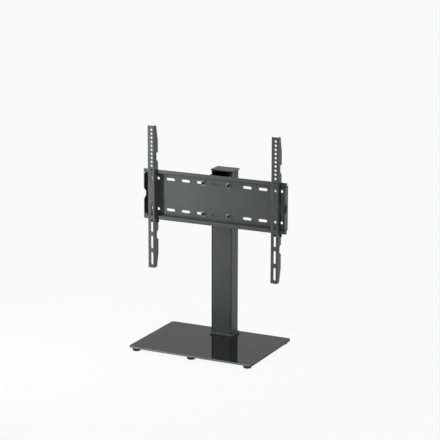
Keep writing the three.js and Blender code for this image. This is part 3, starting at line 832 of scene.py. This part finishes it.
zinc_finish = new_finish(
    "zinc_plate", plated, pale=(0.250, 0.254, 0.260, 1), dull=(0.165, 0.169, 0.175, 1),
    roughness=(0.38, 0.58), metallic=1.0, spangle=420.0,
)
base_screws = four_nodes("base_screw")
screw_low, screw_high = corners_of("base_screw_1")
screw_seat = screw_low.z + screw_head_height
base_screw = pan_screw(
    "base_screw", screw_radius, screw_high.z - screw_seat, screw_head_radius, screw_head_height,
    recess_reach, zinc_finish,
)
seat_copies(
    "base_screw_set", base_screw, [(m.x, m.y, screw_seat) for m in middles(base_screws)], unturned,
    zinc_finish, "zinc_steel", "stand", *base_screws,
)

# Column
# A channel folded from two-millimetre steel and welded to a foot plate, open towards the screen.
# Two long slots in its back take the height bolts. It is painted satin black.
column_sheet = 2.0
column_bend = 1.2
bend_steps = 8
foot_plate_thickness = 3.0
foot_plate_reach = 2.05
height_slot_half_width = 3.4
height_slot_sides = 32
height_bolt_spread = 33.0
height_travel = 60.0


def prism(outline, axis, low, high):
    """A bar with the outline as its section: along x it is drawn in y and z, along y in x and z."""
    places = {
        "x": lambda a, b, c: (c, a, b),
        "y": lambda a, b, c: (a, c, b),
        "z": lambda a, b, c: (a, b, c),
    }
    mesh = bmesh.new()
    first = [mesh.verts.new(places[axis](a, b, low)) for a, b in outline]
    last = [mesh.verts.new(places[axis](a, b, high)) for a, b in outline]
    mesh.faces.new(first)
    mesh.faces.new(last)
    for i in range(len(first)):
        mesh.faces.new((first[i - 1], first[i], last[i], last[i - 1]))
    bmesh.ops.recalc_face_normals(mesh, faces=mesh.faces)
    return mesh


def folded_section(path, thickness, bend):
    """The section of a folded sheet whose middle follows a path of straight runs."""
    left = []
    right = []
    for i, (x, y) in enumerate(path):
        here = Vector((x, y))
        before = (here - Vector(path[i - 1])).normalized() if i > 0 else None
        after = (Vector(path[i + 1]) - here).normalized() if i < len(path) - 1 else None
        run_in = before or after
        run_out = after or before
        side = Vector((-run_in.y - run_out.y, run_in.x + run_out.x)).normalized()
        reach = thickness / 2 / side.dot(Vector((-run_in.y, run_in.x)))
        turning = run_in.x * run_out.y - run_in.y * run_out.x
        corner = before and after
        tight = bend if corner else 0.0
        wide = bend + thickness if corner else 0.0
        left.append((*(here + side * reach), tight if turning > 0 else wide))
        right.insert(0, (*(here - side * reach), wide if turning > 0 else tight))
    return rounded_outline(left + right, bend_steps)


satin_finish = new_finish(
    "satin_black_column", baked_paint, dark=(0.050, 0.051, 0.053, 1),
    light=(0.058, 0.059, 0.061, 1), thin=(0.085, 0.086, 0.089, 1), roughness=(0.37, 0.48),
    gloss=0.30, grain=1500.0, depth=0.18, edge_width=0.0006,
)
steel_low = Vector((column_low.x + foot_plate_reach, column_low.y + foot_plate_reach))
steel_high = Vector((column_high.x - foot_plate_reach, column_high.y - foot_plate_reach))
foot_plate_top = column_low.z + foot_plate_thickness
bolt_heights = sorted({round(m.z, 3) for m in middles(four_nodes("height_nut"))})


def column_piece():
    half = column_sheet / 2
    left, right = steel_low.x + half, steel_high.x - half
    back = steel_high.y - half
    section = folded_section(
        [(left, steel_low.y), (left, back), (right, back), (right, steel_low.y)],
        column_sheet, column_bend,
    )
    channel = as_object("steel_column", prism(section, "z", column_low.z, column_high.z))
    plate = stacked(
        [(0, column_low.z), (0, foot_plate_top)],
        rounded_box(column_low, column_high, column_bend, bend_steps),
    )
    reshape(channel, "UNION", as_object("foot_plate", plate))
    bolt_holes(channel, column_low.z, foot_plate_top, clamp_hole_radius, satin_finish)
    slot_low = bolt_heights[0] - height_travel
    slot_high = bolt_heights[-1]
    perforate(
        channel, holes=2, step=(height_bolt_spread, 0.0, 0.0),
        first_hole=(-height_bolt_spread / 2, steel_high.y - half, (slot_low + slot_high) / 2),
        radius=height_slot_half_width, half_stretch=(0.0, 0.0, (slot_high - slot_low) / 2),
        cutter_length=4 * column_sheet, sides=height_slot_sides, finish=satin_finish,
    )
    return channel


seat(column_piece(), satin_finish, "satin_black", "stand", "column", edge=sheet_edge)

# Front cover, foot collar and top cap
# Black moulded plastic. The cover snaps in between the channel's walls, the collar hides the foot
# plate, and the cap has a stepped edge and two tabs that grip inside the channel.
cover_wall = 1.8
cover_return = 12.0
cover_bend = 0.6
cover_edge = 0.2
collar_wall = 2.0
collar_reach = 4.4
collar_edge = 1.5
collar_edge_steps = 5
collar_lip = 0.3
cap_reach = 3.2
cap_skirt = 3.6
cap_corner = 4.0
cap_step = 0.9
cap_edge = 0.3
cap_roof_gap = 0.3
cap_tab_width = 16.0
cap_tab_wall = 1.8
slide_fit = 0.35
plastic_grain_scale = 1900.0
plastic_haze_scale = 24.0
plastic_roughness = (0.40, 0.52)


def plastic_group():
    """Fine spark-eroded grain and a slow change of sheen, as on a moulded part."""
    tree, given, result = new_tree("moulded_grain", "ShaderNodeTree", {"Grain Scale": "Float"}, {
        "Height": "Float", "Sheen": "Float",
    })
    place = add_node(tree, "ShaderNodeTexCoord").outputs["Object"]
    pits = add_node(tree, "ShaderNodeTexVoronoi", {
        "Vector": place, "Scale": given.outputs["Grain Scale"],
    })
    haze = noise(tree, place, plastic_haze_scale, detail=2.0, roughness=0.5)
    return put_out(tree, result, Height=pits.outputs["Distance"], Sheen=haze)


moulded_grain = plastic_group()


def moulded_plastic(tree, dark, light):
    grain = add_node(tree, "ShaderNodeGroup", {
        "Grain Scale": plastic_grain_scale,
    }, node_tree=moulded_grain).outputs
    drift = spread(tree, grain["Sheen"], (0.0, 1.0), middle_limits)
    return add_node(tree, "ShaderNodeBsdfPrincipled", {
        "Base Color": blend_colours(tree, drift, dark, light),
        "Roughness": spread(tree, grain["Sheen"], plastic_roughness, middle_limits),
        "Normal": bumps(tree, grain["Height"], strength=0.3),
    })


plastic_finish = new_finish(
    "moulded_black_plastic", moulded_plastic,
    dark=(0.046, 0.047, 0.048, 1), light=(0.054, 0.055, 0.056, 1),
)
# The collar wears a lighter copy of the black plastic: painted light, standing in for the light
# that its front catches.
collar_painted_light_finish = new_finish(
    "moulded_collar_plastic_painted_light", moulded_plastic,
    dark=(0.078, 0.079, 0.080, 1), light=(0.090, 0.091, 0.092, 1),
)
cover_low, cover_high = corners_of("front_cover")
left = cover_low.x + cover_wall / 2
right = cover_high.x - cover_wall / 2
face = cover_low.y + cover_wall / 2
cover_section = folded_section(
    [(left, face + cover_return), (left, face), (right, face), (right, face + cover_return)],
    cover_wall, cover_bend,
)
cover = as_object("snap_in_cover", prism(cover_section, "z", cover_low.z, cover_high.z))
seat(cover, plastic_finish, "moulded_black", "stand", "front_cover", edge=cover_edge)

steel_outline = rounded_box(steel_low, steel_high, column_bend, bend_steps)
collar_low, collar_high = corners_of("foot_collar")
inner_reach = collar_reach - collar_wall
collar_levels = [(collar_reach, collar_low.z)]
collar_levels += arc(
    collar_reach - collar_edge, collar_high.z - collar_edge, collar_edge, 0, 90, collar_edge_steps,
)
collar_levels += [
    (slide_fit + collar_lip, collar_high.z), (slide_fit, collar_high.z - collar_lip),
    (slide_fit, collar_high.z - collar_wall), (inner_reach, collar_high.z - collar_wall),
    (inner_reach, collar_low.z),
]
collar = as_object("moulded_collar", stacked(collar_levels, steel_outline, closed=True))
seat(collar, collar_painted_light_finish, "moulded_black", "stand", "foot_collar")

cap_low, cap_high = corners_of("top_cap")
skirt_foot = cap_high.z - cap_skirt
cap_levels = [
    (slide_fit, column_high.z + cap_roof_gap), (slide_fit, skirt_foot), (cap_reach, skirt_foot),
    (cap_reach, cap_high.z - cap_step), (cap_reach - cap_step, cap_high.z - cap_step),
    (cap_reach - cap_step, cap_high.z),
]
cap_outline = rounded_box(steel_low, steel_high, cap_corner - cap_reach, bend_steps)
cap = as_object("moulded_cap", stacked(cap_levels, cap_outline))
tab_outer = steel_high.x - column_sheet - slide_fit
for hand in (-1, 1):
    near, far = sorted((hand * tab_outer, hand * (tab_outer - cap_tab_wall)))
    tab = box_outline(
        near, far, foot_middle_y - cap_tab_width / 2, foot_middle_y + cap_tab_width / 2,
    )
    reshape(cap, "UNION", as_object("tab", prism(tab, "z", cap_low.z, cap_high.z - cap_step)))
seat(cap, plastic_finish, "moulded_black", "stand", "top_cap", edge=cap_edge)

# Mounting plate
# One sheet of two-millimetre steel, folded forward along the top and bottom and out again into two
# rails. Its ends are folded forward into stops with a notch, and two rows of slots suit any fixing.
plate_sheet = 2.0
plate_bend = 1.0
web_half_height = 63.2
rail_corner = 1.2
stop_proud = 4.7
stop_inset = 2.7
stop_relief = 1.2
stop_notch_depth = 12.5
stop_notch_mouth = 33.0
stop_notch_floor = 13.0
stop_notch_round = 4.0
slot_pitch = 50.0
slot_length = 27.5
slot_height = 8.0
slot_sides = 32
slot_count = 9
slot_row_spacing = 92.6
overrun = 2.0
plate_low, plate_high = corners_of("mounting_plate")
plate_middle = (plate_low.z + plate_high.z) / 2
rail_half = (plate_high.z - plate_low.z) / 2
rail_front = plate_low.y + stop_proud
rail_back = rail_front + plate_sheet
stop_outer = plate_high.x - stop_inset
stop_height = web_half_height - stop_relief


def carve(piece, how, outline, axis, low, high):
    """Cuts, keeps or joins a piece with a bar that has the outline as its section."""
    reshape(piece, how, as_object("tool", prism(outline, axis, low, high)))


def folded_tray():
    """The web with its shelves and rails, with the rails' corners rounded and its ends cut back."""
    half = plate_sheet / 2
    web = plate_high.y - half
    rail = rail_front + half
    shelf = web_half_height + half
    section = folded_section([(y, plate_middle + z) for y, z in (
        (rail, -rail_half), (rail, -shelf), (web, -shelf),
        (web, shelf), (rail, shelf), (rail, rail_half),
    )], plate_sheet, plate_bend)
    tray = as_object("folded_plate", prism(section, "x", plate_low.x, plate_high.x))
    face = rounded_box(
        (plate_low.x, plate_low.z), (plate_high.x, plate_high.z), rail_corner, bend_steps,
    )
    carve(tray, "INTERSECT", face(), "y", rail_front - overrun, plate_high.y + overrun)
    web_end = (stop_outer - plate_sheet - plate_bend, stop_height + stop_relief / 2)
    shelf_end = (stop_outer, web_half_height + plate_sheet + plate_bend)
    for hand in (-1, 1):
        for from_x, reach in (web_end, shelf_end):
            near, far = sorted((hand * from_x, hand * (plate_high.x + overrun)))
            end = box_outline(
                rail_back + slide_fit, plate_high.y + overrun,
                plate_middle - reach, plate_middle + reach,
            )
            carve(tray, "DIFFERENCE", end, "x", near, far)
    return tray


def end_stops():
    """The two stops with the web between them, and a notch in each."""
    web = plate_high.y - plate_sheet / 2
    bent = stop_outer - plate_sheet / 2
    section = folded_section(
        [(-bent, plate_low.y), (-bent, web), (bent, web), (bent, plate_low.y)],
        plate_sheet, plate_bend,
    )
    stops = as_object("stops", prism(
        section, "z", plate_middle - stop_height, plate_middle + stop_height,
    ))
    mouth, floor_half = stop_notch_mouth / 2, stop_notch_floor / 2
    notch_floor = plate_low.y + stop_notch_depth
    notch = rounded_outline([(y, plate_middle + z, r) for y, z, r in (
        (plate_low.y - overrun, -mouth, 0), (plate_low.y, -mouth, 0),
        (notch_floor, -floor_half, stop_notch_round), (notch_floor, floor_half, stop_notch_round),
        (plate_low.y, mouth, 0), (plate_low.y - overrun, mouth, 0),
    )], bend_steps)
    carve(stops, "DIFFERENCE", notch, "x", plate_low.x - overrun, plate_high.x + overrun)
    return stops


plate = folded_tray()
reshape(plate, "UNION", end_stops())
for row in (-1, 1):
    perforate(
        plate, holes=slot_count, step=(slot_pitch, 0.0, 0.0),
        first_hole=(
            -(slot_count - 1) / 2 * slot_pitch, plate_high.y - plate_sheet / 2,
            plate_middle + row * slot_row_spacing / 2,
        ),
        radius=slot_height / 2, half_stretch=((slot_length - slot_height) / 2, 0.0, 0.0),
        cutter_length=4 * plate_sheet, sides=slot_sides, finish=powder_finish,
    )
seat(plate, powder_finish, "powder_black", "lift", "mounting_plate", edge=sheet_edge)

# Carriage
# A flat steel plate behind the mounting plate takes the four plate bolts. The channel welded to its
# back slides inside the column and takes the four height bolts.
carriage_sheet = 2.0
carriage_bend = 1.2
carriage_rear_height = 78.0
carriage_mouth_gap = 2.2
carriage_shoulder = 6.0
carriage_round = 5.0
carriage_corner = 3.0
plate_bolt_spread = 82.0
bolt_hole_radius = 3.4
bolt_hole_sides = 24
carriage_low, carriage_high = corners_of("carriage_bracket")


def carriage_piece():
    half = carriage_sheet / 2
    side = steel_high.x - column_sheet - slide_fit - half
    front = carriage_low.y + half
    back = carriage_high.y - half
    section = folded_section(
        [(-side, front), (-side, back), (side, back), (side, front)], carriage_sheet, carriage_bend,
    )
    bracket = as_object("carriage", prism(section, "z", carriage_low.z, carriage_high.z))
    rear_foot = carriage_high.z - carriage_rear_height
    before, behind = carriage_low.y - overrun, carriage_high.y + overrun
    profile = rounded_outline([
        (before, carriage_low.z, 0),
        (front + carriage_shoulder, carriage_low.z, carriage_round),
        (steel_low.y - carriage_mouth_gap, rear_foot, carriage_round),
        (behind, rear_foot, 0),
        (behind, carriage_high.z + overrun, 0),
        (before, carriage_high.z + overrun, 0),
    ], bend_steps)
    carve(bracket, "INTERSECT", profile, "x", -side - overrun, side + overrun)
    front_plate = rounded_box(
        (carriage_low.x, carriage_low.z), (carriage_high.x, carriage_high.z),
        carriage_corner, bend_steps,
    )
    carve(
        bracket, "UNION", front_plate(), "y", carriage_low.y, carriage_low.y + carriage_sheet,
    )
    rows = [(height_bolt_spread, back, height) for height in bolt_heights]
    for row in (1, -1):
        rows.insert(0, (plate_bolt_spread, front, plate_middle + row * slot_row_spacing / 2))
    for apart, y, z in rows:
        perforate(
            bracket, holes=2, step=(apart, 0.0, 0.0), first_hole=(-apart / 2, y, z),
            radius=bolt_hole_radius, cutter_length=4 * carriage_sheet, sides=bolt_hole_sides,
            finish=powder_finish,
        )
    return bracket


seat(
    carriage_piece(), powder_finish, "powder_black", "lift", "carriage_bracket", edge=sheet_edge,
)

# Six-millimetre hardware
# Blackened pan-head bolts, zinc-plated washers and chamfered hexagon nuts. One set holds the plate
# to the carriage, and the other clamps the carriage to the column from behind.
bolt_radius = 3.0
bolt_head_radius = 5.4
bolt_head_height = 4.0
washer_edge = 0.25
nut_play = 0.05
nut_chamfer = 0.55
nut_flat_inset = 0.1
nut_corner_slack = 0.1
nut_turning_sides = 48
bore_edge = 0.5
bore_flare = 1.6
bore_overrun = 1.0
bore_sides = 32
towards_back = (-math.pi / 2, 0.0, 0.0)
towards_front = (math.pi / 2, 0.0, 0.0)
blackened_finish = new_finish(
    "blackened_steel", plated, pale=(0.060, 0.061, 0.064, 1), dull=(0.035, 0.036, 0.038, 1),
    roughness=(0.34, 0.54), metallic=0.85, spangle=700.0,
)


def washer(name, outer, inner, thickness):
    """A flat ring along +Z from z = 0, with its edges broken."""
    edge = washer_edge
    return as_object(name, turned([
        (inner, edge), (inner + edge, 0), (outer - edge, 0), (outer, edge),
        (outer, thickness - edge), (outer - edge, thickness),
        (inner + edge, thickness), (inner, thickness - edge),
    ], screw_sides, closed=True))


def hex_nut(name, across_flats, bore, height):
    """A hexagon nut on z = 0, with both ends of its corners chamfered and a countersunk bore."""
    corner = across_flats / math.sqrt(3)
    angles = [math.radians(60 * i) for i in range(6)]
    outline = [(corner * math.cos(angle), corner * math.sin(angle)) for angle in angles]
    nut = as_object(name, prism(outline, "z", 0, height))
    flat, wide = across_flats / 2 - nut_flat_inset, corner + nut_corner_slack
    turning = turned([
        (0, 0), (flat, 0), (wide, nut_chamfer),
        (wide, height - nut_chamfer), (flat, height), (0, height),
    ], nut_turning_sides)
    reshape(nut, "INTERSECT", as_object("turning", turning))
    drill = turned([
        (0, -bore_overrun), (bore + bore_flare, -bore_overrun), (bore + bore_edge, 0.0),
        (bore, bore_edge), (bore, height - bore_edge), (bore + bore_edge, height),
        (bore + bore_flare, height + bore_overrun), (0, height + bore_overrun),
    ], bore_sides)
    reshape(nut, "DIFFERENCE", as_object("drill", drill))
    return nut


def hardware(stem, turn, head_in_front):
    """The bolts, washers and nuts of one set, each kind as one piece."""
    for kind in ("bolt", "washer", "nut"):
        name = f"{stem}_{kind}"
        nodes = four_nodes(name)
        low, high = corners_of(nodes[0])
        start, length = (low.y if head_in_front else high.y), high.y - low.y
        finish, slot = zinc_finish, "zinc_steel"
        if kind == "bolt":
            finish, slot = blackened_finish, "black_steel"
            start += bolt_head_height if head_in_front else -bolt_head_height
            pattern = pan_screw(
                name, bolt_radius, length - bolt_head_height, bolt_head_radius, bolt_head_height,
                recess_reach, finish,
            )
        elif kind == "washer":
            pattern = washer(name, (high.x - low.x) / 2, bolt_hole_radius, length)
        else:
            pattern = hex_nut(name, high.z - low.z, bolt_radius + nut_play, length)
        seat_copies(
            name + "_set", pattern, [(m.x, start, m.z) for m in middles(nodes)], turn, finish,
            slot, "lift", *nodes,
        )


hardware("plate", towards_back, head_in_front=True)
hardware("height", towards_front, head_in_front=False)

# Arms
# Each arm is folded from two-millimetre steel. The flange on its right is cut into a hook for the
# upper rail and a gate for the lower one, and a narrow lip stiffens its left edge. Fifteen round
# holes and four slots in its face take the screen's screws.
arm_sheet = 2.0
arm_bend = 0.4
arm_lip_depth = 5.5
arm_hole_inset = 9.3
arm_end_depth = 13.5
arm_top_taper = 46.0
arm_bottom_taper = 42.0
arm_taper_round = 5.0
arm_corner = 2.0
arm_hole_radius = 3.5
arm_hole_pitch = 12.0
arm_hole_count = 15
arm_hole_first = 12.0
arm_slot_pitch = 50.0
arm_slot_length = 38.0
arm_slot_width = 7.0
arm_slot_count = 4
arm_slot_last = 28.6
arm_hole_sides = 28
arm_side_steps = 6
hook_reach = 8.2
hook_lead = 3.0
tray_margin = 2.0
bolt_clearance = 1.0
notch_height = 20.0
notch_depth = 9.3
upper_notch_rise = 115.5
lower_notch_drop = 123.0
notch_lead = 4.0
notch_ramp = 9.0
notch_round = 1.5
seat_gap = 0.3
lock_bore = 2.9
lock_bore_sides = 24
through_x = (0.0, math.pi / 2, 0.0)
arm_low, arm_high = corners_of("left_arm")
bolt_front = corners_of("plate_bolt_1")[0].y
lock_place = middles(["left_lock_sleeve"])[0]


def arm_side():
    """Side outline of an arm, in y and z."""
    top = arm_high.z
    bottom = arm_low.z
    front = arm_low.y
    rear = arm_high.y
    tray_rear = bolt_front - bolt_clearance
    rail_clear = rail_front - slide_fit
    hook_front = rail_back + slide_fit
    floor_y = rear - notch_depth
    rail_top = plate_middle + rail_half
    rail_foot = plate_middle - rail_half
    web_top = plate_middle + web_half_height
    web_foot = plate_middle - web_half_height
    upper = plate_middle + upper_notch_rise
    lower = plate_middle - lower_notch_drop
    half = notch_height / 2
    return rounded_outline([
        (front, bottom, 0),
        (front + arm_end_depth, bottom, notch_round),
        (rear, bottom + arm_bottom_taper, arm_taper_round),
        (rear, lower - half - notch_lead, notch_round),
        (floor_y, lower - half, notch_round),
        (floor_y, lower + half, notch_round),
        (rear, lower + half + notch_lead, notch_round),
        (rear, rail_foot - slide_fit, notch_round),
        (rail_clear, rail_foot - slide_fit, 0),
        (rail_clear, web_foot + tray_margin, 0),
        (tray_rear, web_foot + tray_margin, notch_round),
        (tray_rear, web_top - tray_margin, notch_round),
        (rail_clear, web_top - tray_margin, 0),
        (rail_clear, rail_top + seat_gap, 0),
        (hook_front, rail_top + seat_gap, 0),
        (hook_front, rail_top - hook_reach, 0),
        (rear - hook_lead, rail_top - hook_reach, notch_round),
        (rear, rail_top - hook_reach + hook_lead, notch_round),
        (rear, upper - half - notch_ramp, notch_round),
        (floor_y, upper - half, notch_round),
        (floor_y, upper + half, notch_round),
        (rear, upper + half, notch_round),
        (rear, top - arm_top_taper, arm_taper_round),
        (front + arm_end_depth, top, notch_round),
        (front, top, 0),
    ], arm_side_steps)


def arm_piece(name, hole_line):
    half = arm_sheet / 2
    right = arm_hole_inset
    left = arm_hole_inset - (arm_high.x - arm_low.x)
    face = arm_low.y + half
    section = folded_section([
        (left + half, arm_low.y + arm_lip_depth), (left + half, face),
        (right - half, face), (right - half, arm_high.y),
    ], arm_sheet, arm_bend)
    arm = as_object(name, prism(section, "z", arm_low.z, arm_high.z))
    carve(arm, "INTERSECT", arm_side(), "x", left - overrun, right + overrun)
    front = rounded_box((left, arm_low.z), (right, arm_high.z), arm_corner, bend_steps)
    carve(arm, "INTERSECT", front(), "y", arm_low.y - overrun, arm_high.y + overrun)
    perforate(
        arm, holes=arm_hole_count, first_hole=(0.0, face, arm_high.z - arm_hole_first),
        step=(0.0, 0.0, -arm_hole_pitch), radius=arm_hole_radius, cutter_length=3 * arm_sheet,
        sides=arm_hole_sides, finish=powder_finish,
    )
    perforate(
        arm, holes=arm_slot_count, first_hole=(0.0, face, arm_low.z + arm_slot_last),
        step=(0.0, 0.0, arm_slot_pitch), radius=arm_slot_width / 2,
        half_stretch=(0.0, 0.0, (arm_slot_length - arm_slot_width) / 2),
        cutter_length=3 * arm_sheet, sides=arm_hole_sides, finish=powder_finish,
    )
    perforate(
        arm, first_hole=(right - half, lock_place.y, lock_place.z), radius=lock_bore,
        cutter_turn=through_x, cutter_length=3 * arm_sheet, sides=lock_bore_sides,
        finish=powder_finish,
    )
    arm.data.transform(Matrix.Translation((hole_line, 0, 0)))
    return arm


for hand in ("left", "right"):
    arm_edge = corners_of(f"{hand}_arm")[1].x
    arm = arm_piece(f"{hand}_perforated_arm", arm_edge - arm_hole_inset)
    seat(arm, powder_finish, "powder_black", f"{hand}_arm_set", f"{hand}_arm", edge=sheet_edge)

# Lock bolts
# A small bolt goes through each arm's flange just under the lower rail, with a spacer sleeve and a
# nut on its inner side, so that the arm can't be lifted off until it is drawn.
lock_radius = 2.5
lock_head_radius = 4.6
lock_head_height = 3.4
lock_recess = 2.5
towards_left = (0.0, -math.pi / 2, 0.0)


def seat_lock(name, pattern, start, body, node):
    """Seats a piece of a lock bolt, which runs from its start to the left."""
    seat_copies(
        name, pattern, [(start, lock_place.y, lock_place.z)], towards_left, blackened_finish,
        "black_steel", body, node,
    )


for hand in ("left", "right"):
    bolt, sleeve, nut = (f"{hand}_lock_{kind}" for kind in ("bolt", "sleeve", "nut"))
    low, high = corners_of(bolt)
    shape = pan_screw(
        bolt + "_shape", lock_radius, high.x - low.x - lock_head_height, lock_head_radius,
        lock_head_height, lock_recess, blackened_finish,
    )
    seat_lock(f"{hand}_lock_screw", shape, high.x - lock_head_height, f"{hand}_lock", bolt)

    low, high = corners_of(sleeve)
    shape = washer(sleeve + "_shape", (high.z - low.z) / 2, lock_bore, high.x - low.x)
    seat_lock(f"{hand}_spacer", shape, high.x, f"{hand}_arm_set", sleeve)

    low, high = corners_of(nut)
    across = min(high.y - low.y, high.z - low.z)
    shape = hex_nut(nut + "_shape", across, lock_radius + nut_play, high.x - low.x)
    seat_lock(f"{hand}_lock_hex", shape, high.x, f"{hand}_arm_set", nut)
